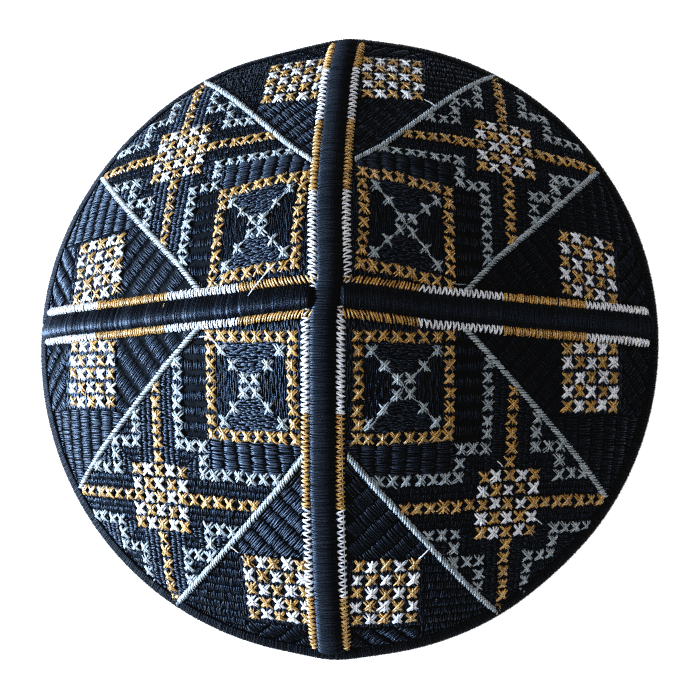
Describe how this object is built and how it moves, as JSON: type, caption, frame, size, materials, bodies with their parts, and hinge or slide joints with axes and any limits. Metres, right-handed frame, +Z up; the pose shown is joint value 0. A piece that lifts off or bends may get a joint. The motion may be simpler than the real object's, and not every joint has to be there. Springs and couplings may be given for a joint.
{
  "type": "prayer cap",
  "caption": "Shallow round prayer cap of quilted cloth gores with stuffed ridges over the seams, cross-stitch ornament and a stitched rim, open below for the head.",
  "frame": {"origin": "on the table under the middle of the rim", "axes": "+Z up through the crown, +Y along the unbroken ridge, +X along a side ridge"},
  "size_m": [0.1863, 0.1904, 0.0447],
  "materials": {
    "quilted_cloth": "black cotton covered with navy fill stitches and gold, white and grey embroidery",
    "ridge_cloth": "black crosswise thread, slightly glossy",
    "binding_thread": "black satin stitch"
  },
  "bodies": {
    "root": {"panel_ne": "quilted_cloth", "panel_nw": "quilted_cloth", "panel_sw": "quilted_cloth", "panel_se": "quilted_cloth", "ridge_long": "ridge_cloth", "ridge_e": "ridge_cloth", "ridge_w": "ridge_cloth", "rim_binding": "binding_thread"}
  },
  "joints": []
}
